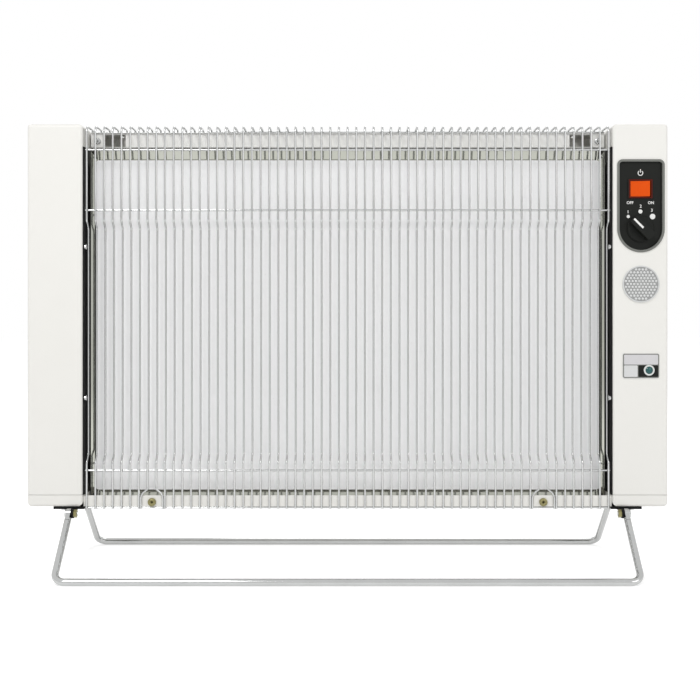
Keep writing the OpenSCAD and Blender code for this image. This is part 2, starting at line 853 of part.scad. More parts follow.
// Upright wire in side view: up the front, back and forward again in two quarter-round
// steps, then over the top to the rear cross bar
function upright_path(foot_z) = [[guard_y, foot_z],
    [guard_y, base_z + recess_low],
    [guard_y + guard_recess, base_z + recess_low],
    [guard_y + guard_recess, base_z + recess_high],
    [guard_y, base_z + recess_high],
    [guard_y, guard_top_z],
    [0, guard_top_z]];

module upright(x, spread_to) {
    foot_z = spread_to == 0 ? guard_bottom_z - wire_d / 2 : base_z + spread_height;
    in_side_view(x) bent_rod(upright_path(foot_z), wire_d,
        [step_bend, step_bend, step_bend, step_bend, top_bend], wire_fn);
    if (spread_to != 0)
        translate([x, guard_y, 0]) rotate([90, 0, 0])
            bent_rod([[0, foot_z], [0, foot_z - spread_bend],
                [spread_to, foot_z - spread_bend], [spread_to, foot_z - 2 * spread_bend]],
                wire_d, [spread_bend, spread_bend], wire_fn);
}

// Stretch of the guard's upright wires, with those beside a fixing screw spread apart
module guard_wires(first, last) {
    color(chrome)
        for (i = [first : last]) {
            near_left = i == screw_wire || i == wire_count - 2 - screw_wire;
            near_right = i == screw_wire + 1 || i == wire_count - 1 - screw_wire;
            upright((i - (wire_count - 1) / 2) * wire_pitch,
                near_left ? -spread : near_right ? spread : 0);
        }
}

module left_guard_wires() {
    guard_wires(0, guard_third - 1);
}

module middle_guard_wires() {
    guard_wires(guard_third, wire_count - 1 - guard_third);
}

module right_guard_wires() {
    guard_wires(wire_count - guard_third, wire_count - 1);
}

module guard_cross_wires() {
    color(chrome) {
        for (z = cross_heights) {
            reach = z < cross_heights[2] ? plate_in_x + hook_reach : cross_half;
            y = z > recess_low && z < recess_high ? cross_y + guard_recess : cross_y;
            x_cyl(-reach, reach, y, base_z + z, wire_d / 2, $fn = wire_fn);
        }
        x_cyl(-cross_half, cross_half, cross_y, guard_bottom_z, wire_d / 2, $fn = wire_fn);
        x_cyl(-cross_half, cross_half, rear_bar_y, rear_bar_z, rear_bar_d / 2, $fn = wire_fn);
    }
}

// Pan-head screw pointing along +Y from its head's underside
module screw_along_y(x, y, z, head_r, head_h, shank_r, shank_l) {
    y_cyl(x, y - head_h, y, z, head_r);
    y_cyl(x, y - past, y + shank_l, z, shank_r);
}

module guard_screw(s) {
    color(zinc)
        screw_along_y(s * guard_screw_x, rail_lip_y - close_fit, guard_screw_z,
            guard_screw_r, guard_screw_h, small_screw_r, 8);
}

module left_guard_screw() {
    guard_screw(-1);
}

module right_guard_screw() {
    guard_screw(1);
}

// Plate under the body with an ear for each stand's pivot
module leg_bracket() {
    x0 = bracket_x - bracket_width / 2;
    difference() {
        union() {
            span(x0, x0 + bracket_width, -half_d + past, half_d - past,
                base_z - bracket_thickness, base_z);
            for (s = [-1, 1])
                in_side_view(ear_in_x)
                    linear_extrude(bracket_thickness) {
                        translate([s * pivot_y, pivot_z]) circle(r = ear_radius);
                        polygon([[s * (half_d - past), base_z - bracket_thickness],
                            [s * (pivot_y + ear_radius * cos(60)),
                                pivot_z + ear_radius * sin(60)],
                            [s * (pivot_y - ear_radius * cos(50)),
                                pivot_z - ear_radius * sin(50)],
                            [s * ear_root, base_z - bracket_thickness],
                            [s * ear_root, base_z - past],
                            [s * (half_d - past), base_z - past]]);
                    }
        }
        for (s = [-1, 1])
            x_cyl(ear_in_x - past, ear_out_x + past, s * pivot_y, pivot_z,
                bolt_d / 2 + bolt_clearance);
        span(x0 - past, cross_half + notch_gap, -half_d, cross_y + wire_d / 2 + notch_gap,
            base_z - bracket_thickness - past, base_z + past);
        for (y = [-bracket_screw_y, bracket_screw_y])
            z_hole(bracket_screw_x, y, base_z - bracket_thickness, base_z);
        z_hole(inner_x - rail_screw_inset, -rail_screw_y, base_z - bracket_thickness, base_z);
    }
}

module left_leg_bracket() {
    color([0.2, 0.19, 0.17]) on_left() leg_bracket();
}

module right_leg_bracket() {
    color([0.2, 0.19, 0.17]) leg_bracket();
}

// U of round rod that hangs from its pivots, drawn flat and then leaned outwards
module stand(s) {
    color(chrome) translate([0, s * pivot_y, pivot_z]) rotate([s * arm_lean, 0, 0])
        difference() {
            union() {
                rotate([90, 0, 0])
                    bent_rod([[-rod_x, -eye_neck], [-rod_x, -arm_length],
                        [rod_x, -arm_length], [rod_x, -eye_neck]], rod_d,
                        [stand_bend, stand_bend], $fn);
                for (e = [-1, 1]) {
                    x_cyl(e * rod_x - eye_thickness / 2, e * rod_x + eye_thickness / 2, 0, 0,
                        eye_radius);
                    span(e * rod_x - eye_thickness / 2, e * rod_x + eye_thickness / 2,
                        -rod_d / 2 - eye_side, rod_d / 2 + eye_side, -eye_neck - eye_lap, 0);
                }
            }
            for (e = [-1, 1])
                x_cyl(e * rod_x - eye_thickness / 2 - past, e * rod_x + eye_thickness / 2 + past,
                    0, 0, bolt_d / 2 + bolt_clearance);
        }
}

module front_stand() {
    stand(-1);
}

module rear_stand() {
    stand(1);
}

module pivot_bolt(s) {
    color(chrome) translate([0, s * pivot_y, pivot_z]) {
        head_x = rod_x + eye_thickness / 2 + fit;
        x_cyl(head_x, head_x + bolt_head_h, 0, 0, bolt_head_r);
        x_cyl(ear_in_x - nut_h - bolt_end, head_x + past, 0, 0, bolt_d / 2);
    }
}

module front_left_bolt() {
    on_left() pivot_bolt(-1);
}

module front_right_bolt() {
    pivot_bolt(-1);
}

module rear_left_bolt() {
    on_left() pivot_bolt(1);
}

module rear_right_bolt() {
    pivot_bolt(1);
}

module pivot_nut(s) {
    color(zinc) difference() {
        translate([ear_in_x - close_fit, s * pivot_y, pivot_z])
            rotate([0, -90, 0]) cylinder(h = nut_h, r = nut_r, $fn = 6);
        x_cyl(ear_in_x - nut_h - past, ear_in_x + past, s * pivot_y, pivot_z,
            bolt_d / 2 + bolt_clearance);
    }
}

module front_left_nut() {
    on_left() pivot_nut(-1);
}

module front_right_nut() {
    pivot_nut(-1);
}

module rear_left_nut() {
    on_left() pivot_nut(1);
}

module rear_right_nut() {
    pivot_nut(1);
}

// Grey rim round the controls, with a skirt that passes through the casing
module control_bezel() {
    color(pale_grey) difference() {
        union() {
            pull(front_y - bezel_lip, front_y) control_outline(0);
            pull(front_y - past, front_y + 6) control_outline(rim_width - bezel_skirt);
        }
        pull(front_y - bezel_lip - past, front_y + 6 + past) control_outline(rim_width);
    }
}

module control_plate() {
    color(black) difference() {
        pull(plate_y, plate_back_y) control_outline(rim_width + close_fit);
        span(control_x - housing_half_x - housing_wall - close_fit,
            control_x + housing_half_x + housing_wall + close_fit, plate_y - past,
            plate_back_y + past, rocker_mid_z - housing_half_z - housing_wall - close_fit,
            rocker_mid_z + housing_half_z + housing_wall + close_fit);
        y_cyl(control_x, plate_y - past, plate_back_y + past, knob_mid_z,
            bushing_r + close_fit);
    }
}

// Box that carries the rocker on two pins, with its connector blades
module rocker_housing() {
    color(black) difference() {
        union() {
            span(control_x - housing_half_x - 2 * housing_wall,
                control_x + housing_half_x + 2 * housing_wall, plate_y - housing_flange, plate_y,
                rocker_mid_z - housing_half_z - 2 * housing_wall,
                rocker_mid_z + housing_half_z + 2 * housing_wall);
            span(control_x - housing_half_x - housing_wall,
                control_x + housing_half_x + housing_wall, plate_y - past,
                plate_y + housing_depth, rocker_mid_z - housing_half_z - housing_wall,
                rocker_mid_z + housing_half_z + housing_wall);
            for (x = blade_places)
                span(control_x + x - blade_half_thickness, control_x + x + blade_half_thickness,
                    plate_y + housing_depth - past, plate_y + housing_depth + blade_length,
                    rocker_mid_z - blade_half_width, rocker_mid_z + blade_half_width);
        }
        span(control_x - housing_half_x, control_x + housing_half_x,
            plate_y - housing_flange - past, plate_y + housing_depth - housing_wall,
            rocker_mid_z - housing_half_z, rocker_mid_z + housing_half_z);
        translate([control_x, rocker_pivot_y, rocker_mid_z - housing_half_z - 2 * housing_wall])
            cylinder(h = 2 * (housing_half_z + 2 * housing_wall),
                r = rocker_pin_r + pin_clearance);
    }
}

// Orange button, shallow V in plan, shown pressed at its left side
module rocker_button() {
    w = rocker_width / 2;
    color([0.95, 0.35, 0.08])
        translate([control_x, rocker_pivot_y, rocker_mid_z]) rotate(-rocker_turn) {
            translate([0, 0, -rocker_height / 2])
                linear_extrude(rocker_height)
                    polygon([[-w, -rocker_rise - rocker_dip], [0, -rocker_rise],
                        [w, -rocker_rise - rocker_dip], [w, 0],
                        [rocker_heel, rocker_below], [-rocker_heel, rocker_below], [-w, 0]]);
            pin = housing_half_z + housing_wall - close_fit;
            translate([0, 0, -pin]) cylinder(h = 2 * pin, r = rocker_pin_r);
        }
}

// Rotary switch body with its threaded bushing and nut
module selector_switch() {
    color([0.15, 0.15, 0.16]) difference() {
        union() {
            span(control_x - switch_size / 2, control_x + switch_size / 2,
                plate_back_y + close_fit, plate_back_y + switch_depth,
                knob_mid_z - switch_size / 2, knob_mid_z + switch_size / 2);
            y_cyl(control_x, plate_y - bushing_nut_h, plate_back_y + past, knob_mid_z,
                bushing_r);
            y_cyl(control_x, plate_y - bushing_nut_h, plate_y - close_fit, knob_mid_z,
                bushing_nut_r);
        }
        y_cyl(control_x, plate_y - knob_height, plate_back_y + switch_depth - switch_floor,
            knob_mid_z, shaft_d / 2 + shaft_clearance);
    }
}

module selector_shaft() {
    color(chrome)
        y_cyl(control_x, knob_tip_y + knob_cap, plate_back_y + switch_depth - switch_floor - fit,
            knob_mid_z, shaft_d / 2);
}

// Round base with a straight grip across it
module selector_knob() {
    base_y = plate_y - fit;
    color(black) translate([control_x, base_y, knob_mid_z]) rotate([90, 0, 0])
        rotate(knob_start)
            difference() {
                union() {
                    rotate_extrude()
                        polygon([[0, 0], [knob_radius, 0], [knob_radius, knob_base_h * 0.6],
                            [knob_radius - 1.5, knob_base_h], [0, knob_base_h]]);
                    intersection() {
                        translate([-grip_width / 2, -knob_radius, 0])
                            cube([grip_width, 2 * knob_radius, knob_height - fit]);
                        cylinder(h = knob_height, r = knob_radius - 0.5);
                    }
                }
                translate([0, 0, -past])
                    cylinder(h = bushing_nut_h + fit + past, r = nut_pocket_r);
                translate([0, 0, -past])
                    cylinder(h = knob_height - knob_cap + past, r = shaft_d / 2 + press_fit);
                translate([-pointer_width / 2, -0.5, knob_height - fit - pointer_depth])
                    cube([pointer_width, knob_radius, pointer_depth + past]);
            }
}

module knob_pointer() {
    color("white") translate([control_x, plate_y - fit, knob_mid_z]) rotate([90, 0, 0])
        rotate(knob_start)
            intersection() {
                translate([-pointer_width / 2 + close_fit / 2, 0,
                    knob_height - fit - pointer_depth])
                    cube([pointer_width - close_fit, pointer_length, pointer_depth]);
                cylinder(h = knob_height, r = knob_radius - 0.6);
            }
}

module round_badge() {
    color(pale_grey)
        y_cyl(control_x, front_y - trim_thickness, front_y, base_z + badge_z, badge_radius);
}

module label_plate() {
    color(pale_grey) difference() {
        pull(front_y - trim_thickness, front_y)
            soft_rect(control_x - label_width / 2, control_x + label_width / 2,
                base_z + label_z - label_height / 2, base_z + label_z + label_height / 2, 2, 2);
        y_cyl(pilot_x, front_y - trim_thickness - past, front_y + past, pilot_mid_z,
            pilot_hole + close_fit);
    }
}

module pilot_ring() {
    color(chrome) difference() {
        union() {
            y_cyl(pilot_x, front_y - trim_thickness - ring_height, front_y - trim_thickness,
                pilot_mid_z, pilot_radius);
            y_cyl(pilot_x, front_y - trim_thickness - past,
                front_y + casing_wall + ring_reach, pilot_mid_z, pilot_hole);
        }
        y_cyl(pilot_x, front_y - trim_thickness - ring_height - past,
            front_y + casing_wall + ring_reach + past, pilot_mid_z,
            lens_radius + close_fit / 2);
    }
}

module pilot_lens() {
    sphere_r = (lens_radius * lens_radius + lens_dome * lens_dome) / (2 * lens_dome);
    face_y = front_y - trim_thickness - 1;
    color([0.1, 0.5, 0.5]) {
        y_cyl(pilot_x, face_y, front_y + casing_wall, pilot_mid_z, lens_radius);
        translate([pilot_x, face_y, pilot_mid_z]) rotate([90, 0, 0])
            rotate_extrude() intersection() {
                translate([0, lens_dome - sphere_r]) circle(r = sphere_r);
                square([lens_radius, 2 * lens_dome]);
            }
    }
}

module pilot_lamp() {
    color([0.2, 0.2, 0.2])
        y_cyl(pilot_x, front_y + casing_wall + close_fit, front_y + casing_wall + lamp_length,
            pilot_mid_z, lamp_radius);
}

// Bushing that the supply cord passes through
module cord_inlet() {
    y0 = half_d - casing_wall - inlet_reach;
    y1 = half_d + inlet_flange_h;
    color(black) difference() {
        union() {
            y_cyl(inlet_x, half_d, y1, base_z + inlet_z, inlet_flange_r);
            y_cyl(inlet_x, y0, half_d + past, base_z + inlet_z, inlet_neck_r);
        }
        y_cyl(inlet_x, y0 - past, y1 + past, base_z + inlet_z, inlet_bore);
    }
}

// Terminal block on the inner plate, inside the right casing
module terminal_block() {
    x0 = inner_x + close_fit;
    x1 = x0 + block_depth;
    color([0.85, 0.84, 0.8]) difference() {
        span(x0, x1, block_front, block_back, base_z + block_bottom, base_z + block_top);
        for (z = block_holes)
            x_cyl(x1 - block_hole_depth, x1 + past, (block_front + block_back) / 2, base_z + z,
                block_hole_r);
    }
}

// Round thermal cut-out on the back of the tray
module thermal_cutout() {
    y0 = tray_back_y + close_fit;
    z0 = top_z - cutout_drop;
    color([0.3, 0.3, 0.32]) {
        y_cyl(cutout_x, y0, y0 + cutout_r, z0, cutout_r);
        span(cutout_x - cutout_flange_x, cutout_x + cutout_flange_x, y0, y0 + sheet,
            z0 - cutout_flange_z, z0 + cutout_flange_z);
    }
}

// Switch in the base of the right casing that opens when the heater tips over
module tip_over_switch() {
    z0 = base_z + cap_floor + close_fit;
    color([0.12, 0.12, 0.13])
        span(half_w - tip_switch_inset[1], half_w - tip_switch_inset[0], -tip_switch_half_d,
            tip_switch_half_d, z0, z0 + tip_switch_h);
}

module side_plate_screws() {
    color(chrome)
        for (s = [-1, 1], p = side_screw_places()) {
            x0 = (p[0] > 0 ? chassis_x - sheet : plate_in_x) - close_fit;
            mirror([s < 0 ? 1 : 0, 0, 0]) {
                x_cyl(x0 - small_head_h, x0, p[0], p[1], side_screw_r);
                x_cyl(x0 - past, inner_x + casing_wall + 4, p[0], p[1], small_screw_r);
            }
        }
}

module top_rail_screws() {
    color(chrome)
        for (s = [-1, 1])
            screw_along_y(s * top_screw_x, -close_fit, top_screw_z, small_head_r,
                small_head_h, small_screw_r, 6);
}

module rear_cover_screws() {
    color(chrome)
        for (p = cover_screw_places()) {
            y_cyl(p[0], half_d + close_fit, half_d + close_fit + small_head_h, p[1],
                small_head_r);
            y_cyl(p[0], half_d - 6, half_d + past, p[1], small_screw_r);
        }
}

function bracket_screw_places() = [[bracket_screw_x, -bracket_screw_y],
    [bracket_screw_x, bracket_screw_y], [inner_x - rail_screw_inset, -rail_screw_y]];

module bracket_screws() {
    color(chrome)
        for (s = [-1, 1], p = bracket_screw_places())
            translate([s * p[0], p[1], base_z - bracket_thickness - close_fit]) {
                translate([0, 0, -small_head_h]) cylinder(h = small_head_h, r = small_head_r);
                translate([0, 0, -past]) cylinder(h = bracket_thickness + 6, r = small_screw_r);
            }
}

left_casing();
right_casing();
left_base_cap();
right_base_cap();
left_side_plate();
right_side_plate();
lower_rail();
top_rail();
rear_cover();
mirror_tray();
left_tray_stay();
right_tray_stay();
ceramic_panel();
heating_element();
mica_sheet();
insulation_board();
panel_spacers();
element_studs();
stud_bushings();
left_guard_wires();
middle_guard_wires();
right_guard_wires();
guard_cross_wires();
left_guard_screw();
right_guard_screw();
left_leg_bracket();
right_leg_bracket();
front_stand();
rear_stand();
front_left_bolt();
front_right_bolt();
rear_left_bolt();
rear_right_bolt();
front_left_nut();
front_right_nut();
rear_left_nut();
rear_right_nut();
control_bezel();
control_plate();
rocker_housing();
rocker_button();
selector_switch();
selector_shaft();
selector_knob();
knob_pointer();
round_badge();
label_plate();
pilot_ring();
pilot_lens();
pilot_lamp();
cord_inlet();
terminal_block();
thermal_cutout();
tip_over_switch();
side_plate_screws();
top_rail_screws();
rear_cover_screws();
bracket_screws();
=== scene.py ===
# Looks for a ceramic panel heater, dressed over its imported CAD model.
import json
import math

import bmesh
import bpy
from mathutils import Matrix, Vector


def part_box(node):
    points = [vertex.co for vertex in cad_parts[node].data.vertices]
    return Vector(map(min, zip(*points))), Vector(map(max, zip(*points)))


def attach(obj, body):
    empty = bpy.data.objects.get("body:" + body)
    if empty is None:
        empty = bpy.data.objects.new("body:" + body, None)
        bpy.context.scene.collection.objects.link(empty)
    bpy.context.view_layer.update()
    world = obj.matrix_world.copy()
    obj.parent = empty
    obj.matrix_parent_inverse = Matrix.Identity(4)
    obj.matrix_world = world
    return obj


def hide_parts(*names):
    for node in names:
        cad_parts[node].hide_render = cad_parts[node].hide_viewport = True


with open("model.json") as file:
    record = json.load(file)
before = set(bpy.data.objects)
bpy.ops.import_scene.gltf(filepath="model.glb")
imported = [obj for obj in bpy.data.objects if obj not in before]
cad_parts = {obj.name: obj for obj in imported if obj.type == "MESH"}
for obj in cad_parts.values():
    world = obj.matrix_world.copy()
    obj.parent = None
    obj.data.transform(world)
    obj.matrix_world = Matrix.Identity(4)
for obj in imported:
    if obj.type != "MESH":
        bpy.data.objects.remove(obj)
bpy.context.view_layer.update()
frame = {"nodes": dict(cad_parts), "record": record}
cadNodes = frame["nodes"]
scene = bpy.context.scene
mm = 0.001
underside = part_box("left_base_cap")[0][2] / mm  # above the floor, in millimetres
sink = 0.02  # millimetres that a thin plate reaches into the face under it


def height(value):  # millimetres above the body's underside to metres above the floor
    return (underside + value) * mm


def corners(node):  # a CAD node's lowest and highest corner in millimetres, height() undone
    return [(c[0] / mm, c[1] / mm, c[2] / mm - underside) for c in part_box(node)]


def middle(node):
    low, high = corners(node)
    return [(a + b) / 2 for a, b in zip(low, high)]


cameraLook = {
    "place": (0, -1.511, 0.326),
    "lens": 59.15,
    "shift": (0.0034, -0.0495),
    "near": 0.05,
}
camera = bpy.data.objects.new("camera", bpy.data.cameras.new("camera"))
scene.collection.objects.link(camera)
camera.location = cameraLook["place"]
camera.rotation_euler = (math.pi / 2, 0, 0)
camera.data.lens = cameraLook["lens"]
camera.data.shift_x, camera.data.shift_y = cameraLook["shift"]
camera.data.clip_start = cameraLook["near"]
scene.camera = camera
scene.view_settings.view_transform = "Standard"
print("camera placed")


class Wire:  # one output socket; sums and comparisons on it add Math nodes
    def __init__(self, tree, socket):
        self.tree, self.socket = tree, socket

    def math(self, operation, *others, swap=False):
        values = (others + (self,)) if swap else ((self,) + others)
        return self.tree.add("ShaderNodeMath", {"operation": operation},
                             dict(enumerate(values)))

    def __add__(self, other):
        return self.math("ADD", other)

    def __sub__(self, other):
        return self.math("SUBTRACT", other)

    def __rsub__(self, other):
        return self.math("SUBTRACT", other, swap=True)

    def __mul__(self, other):
        return self.math("MULTIPLY", other)

    def __truediv__(self, other):
        return self.math("DIVIDE", other)

    def __lt__(self, other):
        return self.math("LESS_THAN", other)

    def __gt__(self, other):
        return self.math("GREATER_THAN", other)

    __radd__ = __add__
    __rmul__ = __mul__


class Tree:  # a node tree of either kind, with one way to add a node
    def __init__(self, tree):
        self.nodes, self.links = tree.nodes, tree.links

    def add(self, kind, settings=None, values=None, out=0):
        node = self.nodes.new(kind)
        for key, value in (settings or {}).items():
            setattr(node, key, value)
        for key, value in (values or {}).items():
            if isinstance(value, Wire):
                self.links.new(value.socket, node.inputs[key])
            else:
                node.inputs[key].default_value = value
        return Wire(self, node.outputs[out]) if node.outputs else None

    def mix(self, factor, first, second):
        first, second = [(*c, 1) if isinstance(c, tuple) else c for c in (first, second)]
        return self.add("ShaderNodeMix", {"data_type": "RGBA"},
                        {0: factor, 6: first, 7: second}, out=2)

    def noise(self, place, scale, detail):
        return self.add("ShaderNodeTexNoise", None,
                        {"Vector": place, "Scale": scale, "Detail": detail})

    def bump(self, relief, strength, distance):
        return self.add("ShaderNodeBump", None,
                        {"Height": relief, "Strength": strength, "Distance": distance})


def finish(name, build):  # a material whose build step returns the values of its shader
    material = bpy.data.materials.new(name)
    material.use_nodes = True
    material.node_tree.nodes.clear()
    tree = Tree(material.node_tree)
    place = tree.add("ShaderNodeTexCoord", out=3)
    shader = tree.add("ShaderNodeBsdfPrincipled", None, build(tree, place))
    tree.add("ShaderNodeOutputMaterial", None, {"Surface": shader})
    return material


plainDetail, softDetail = 2.0, 3.0  # detail of a noise: for grain, and for clouds
grainDepth, rippleDepth = 0.0002, 0.0005  # metres


def powderCoat(look):
    def build(tree, place):
        mottle = tree.noise(place, look["mottleScale"], softDetail)
        grain = tree.noise(place, look["grainScale"], plainDetail)
        return {
            "Base Color": tree.mix(mottle, look["colour"], look["shade"]),
            "Roughness": look["rough"] + look["roughSpread"] * mottle,
            "Normal": tree.bump(grain, look["relief"], grainDepth),
            "Specular IOR Level": look["specular"],
        }
    return build


def brightMetal(look):
    def build(tree, place):
        smear = tree.noise(place, look["smearScale"], softDetail)
        speck = tree.noise(place, look["speckScale"], plainDetail) > look["speckCut"]
        rough = look["rough"] + look["roughSpread"] * smear + look["speckRough"] * speck
        return {
            "Base Color": tree.mix(smear, look["colour"], look["shade"]),
            "Metallic": look["metallic"],
            "Roughness": rough,
        }
    return build


def moulded(look):
    def build(tree, place):
        grain = tree.noise(place, look["grainScale"], plainDetail)
        cloud = tree.noise(place, look["cloudScale"], softDetail)
        values = {
            "Base Color": tree.mix(cloud, look["colour"], look["shade"]),
            "Roughness": look["rough"] + look["roughSpread"] * cloud,
            "Normal": tree.bump(grain, look["relief"], grainDepth),
        }
        if "specular" in look:
            values["Specular IOR Level"] = look["specular"]
        return values
    return build


def glaze(look):
    def build(tree, place):
        cloud = tree.noise(place, look["cloudScale"], softDetail)
        ripple = tree.noise(place, look["rippleScale"], plainDetail)
        speck = tree.noise(place, look["speckScale"], look["speckDetail"]) > look["speckCut"]
        ground = tree.mix(cloud, look["colour"], look["shade"])
        return {
            "Base Color": tree.mix(speck * look["speckShare"], ground, look["speck"]),
            "Roughness": look["rough"] + look["roughSpread"] * cloud,
            "Normal": tree.bump(ripple, look["relief"], rippleDepth),
            "Coat Weight": look["coat"],
            "Coat Roughness": look["coatRough"],
        }
    return build


coatLook = {"grainScale": 2600.0, "rough": 0.36, "roughSpread": 0.12, "relief": 0.12,
            "specular": 0.45}
metalLook = {"metallic": 1.0, "speckScale": 1500.0, "speckCut": 0.66, "speckRough": 0.08}
mouldLook = {"grainScale": 2400.0, "cloudScale": 60.0, "roughSpread": 0.1}
trimLook = {**mouldLook, "grainScale": 900.0, "rough": 0.35, "relief": 0.06}
looks = {
    "white_paint": powderCoat({**coatLook, "mottleScale": 9.0,
        "colour": (0.83, 0.82, 0.785), "shade": (0.80, 0.79, 0.75)}),
    "grey_paint": powderCoat({**coatLook, "mottleScale": 12.0,
        "colour": (0.88, 0.875, 0.85), "shade": (0.84, 0.835, 0.81)}),
    "black_paint": powderCoat({**coatLook, "mottleScale": 14.0,
        "colour": (0.004, 0.004, 0.005), "shade": (0.007, 0.007, 0.007),
        "rough": 0.45, "relief": 0.15, "specular": 0.12}),
    # painted reflection: both tones are darker and more olive than polished steel, standing in
    # for the dark olive surroundings that the reflector mirrors
    "mirror": brightMetal({**metalLook, "smearScale": 11.0, "speckScale": 900.0,
        "colour": (0.47, 0.48, 0.44), "shade": (0.36, 0.365, 0.31),
        "rough": 0.03, "roughSpread": 0.05}),
    "glazed_panel": glaze({
        "colour": (0.965, 0.965, 0.97), "shade": (0.945, 0.945, 0.95), "cloudScale": 14.0,
        "speck": (0.80, 0.79, 0.78), "speckScale": 700.0, "speckDetail": 1.0,
        "speckCut": 0.72, "speckShare": 0.5, "rough": 0.16, "roughSpread": 0.06,
        "relief": 0.06, "rippleScale": 90.0, "coat": 0.4, "coatRough": 0.05}),
    "element": brightMetal({**metalLook, "smearScale": 60.0, "speckScale": 900.0,
        "colour": (0.30, 0.25, 0.21), "shade": (0.2, 0.16, 0.13),
        "rough": 0.35, "roughSpread": 0.2}),
    "mica": moulded({**mouldLook, "grainScale": 300.0, "rough": 0.4, "relief": 0.3,
        "colour": (0.55, 0.44, 0.24), "shade": (0.42, 0.33, 0.17)}),
    "insulation": moulded({**mouldLook, "grainScale": 600.0, "rough": 0.8, "relief": 0.8,
        "colour": (0.7, 0.68, 0.6), "shade": (0.62, 0.6, 0.52)}),
    "ceramic": moulded({**mouldLook, "grainScale": 900.0, "rough": 0.5, "relief": 0.2,
        "colour": (0.75, 0.72, 0.64), "shade": (0.68, 0.65, 0.57)}),
    "chrome": brightMetal({**metalLook, "smearScale": 25.0,
        "colour": (0.55, 0.556, 0.554), "shade": (0.46, 0.465, 0.46),
        "rough": 0.06, "roughSpread": 0.08}),
    # painted reflection: the plated screws' olive tint stands in for the olive surroundings that
    # they mirror
    "zinc": brightMetal({**metalLook, "smearScale": 180.0,
        "colour": (0.34, 0.31, 0.15), "shade": (0.16, 0.145, 0.07),
        "rough": 0.25, "roughSpread": 0.2}),
    "rim": moulded({**mouldLook, "rough": 0.28, "relief": 0.1,
        "colour": (0.17, 0.175, 0.16), "shade": (0.14, 0.145, 0.13)}),
    "black_plastic": moulded({**mouldLook, "rough": 0.45, "relief": 0.2, "specular": 0.14,
        "colour": (0.008, 0.009, 0.008), "shade": (0.012, 0.013, 0.011)}),
    "orange_lens": moulded({**mouldLook, "grainScale": 500.0, "rough": 0.4, "relief": 0.05,
        "colour": (0.76, 0.088, 0.002), "shade": (0.70, 0.07, 0.002), "specular": 0.12}),
    "white_mark": moulded({**mouldLook, "rough": 0.45, "relief": 0.1,
        "colour": (0.86, 0.86, 0.84), "shade": (0.8, 0.8, 0.78)}),
    "badge": brightMetal({**metalLook, "smearScale": 40.0, "metallic": 0.35,
        "colour": (0.66, 0.665, 0.665), "shade": (0.56, 0.565, 0.56),
        "rough": 0.28, "roughSpread": 0.12}),
    "teal_lens": moulded({**mouldLook, "grainScale": 1400.0, "rough": 0.08, "relief": 0.02,
        "colour": (0.004, 0.10, 0.10), "shade": (0.002, 0.06, 0.06)}),
}
extraLooks = {  # finishes that no CAD slot has
    # painted shade: a mid-grey ground, darker than the knobs, so the gaps between the knobs look
    # shaded
    "badge_ground": moulded({**trimLook, "specular": 0.3,
        "colour": (0.36, 0.365, 0.36), "shade": (0.29, 0.295, 0.29)}),
    "label_silver": moulded({**trimLook, "specular": 0.3,
        "colour": (0.66, 0.65, 0.665), "shade": (0.60, 0.59, 0.60)}),
    "bright_ring": moulded({**trimLook, "specular": 0.8,
        "colour": (0.72, 0.74, 0.72), "shade": (0.64, 0.66, 0.64)}),
    # painted shade: dark red that stands in for the shaded sides of the orange button
    "red_painted_side_shade": moulded({**trimLook, "specular": 0.12,
        "colour": (0.10, 0.008, 0.002), "shade": (0.07, 0.005, 0.002)}),
}
finishes = {name: finish(name, build) for name, build in looks.items()}
extraFinishes = {name: finish(name, build) for name, build in extraLooks.items()}
for part in frame["record"]["subparts"]:
    for slot in cadNodes[part["node"]].material_slots:
        slot.material = finishes[part["material_slot"]]
for slot in cadNodes["pilot_ring"].material_slots:
    slot.material = extraFinishes["bright_ring"]
print("finishes:", len(finishes))


def newPiece(name, mesh, slot, body="heater", stands=(), extra=None):
    piece = bpy.data.objects.new(name, mesh)
    scene.collection.objects.link(piece)
    mesh.materials.clear()
    mesh.materials.append(extraFinishes[extra] if extra else finishes[slot])
    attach(piece, body)
    if stands:
        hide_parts(*stands)


def newMesh(name, shape):  # the plain mesh of a finished bmesh
    mesh = bpy.data.meshes.new(name)
    shape.to_mesh(mesh)
    shape.free()
    return mesh


def lineMesh(name, points):
    mesh = bpy.data.meshes.new(name)
    mesh.from_pydata(points, [(i, i + 1) for i in range(len(points) - 1)], [])
    return mesh


def startRule(name, sockets):  # a Geometry Nodes tree with named inputs, and their wires
    group = bpy.data.node_groups.new(name, "GeometryNodeTree")
    for label, kind in {"Geometry": "Geometry", **sockets}.items():
        group.interface.new_socket(label, in_out="INPUT", socket_type="NodeSocket" + kind)
    group.interface.new_socket("Geometry", in_out="OUTPUT",
                               socket_type="NodeSocketGeometry")
    tree = Tree(group)
    source = group.nodes.new("NodeGroupInput")
    return group, tree, {s.name: Wire(tree, s) for s in source.outputs if s.name}


def endRule(tree, solid, material, smooth=True):
    if smooth:
        solid = tree.add("GeometryNodeSetShadeSmooth", None, {"Geometry": solid})
    solid = tree.add("GeometryNodeSetMaterial", None,
                     {"Geometry": solid, "Material": material})
    tree.add("NodeGroupOutput", None, {"Geometry": solid})


def grow(name, seedMesh, group, values):  # the mesh that a Geometry Nodes tree makes of a seed
    seed = bpy.data.objects.new(name + "_seed", seedMesh)
    scene.collection.objects.link(seed)
    rule = seed.modifiers.new("rule", "NODES")
    rule.node_group = group
    for item in group.interface.items_tree:
        if item.in_out == "INPUT" and item.name in values:
            rule[item.identifier] = values[item.name]
    ready = seed.evaluated_get(bpy.context.evaluated_depsgraph_get())
    mesh = bpy.data.meshes.new_from_object(ready)
    mesh.name = name
    seed.modifiers.clear()
    bpy.data.objects.remove(seed)
    return mesh


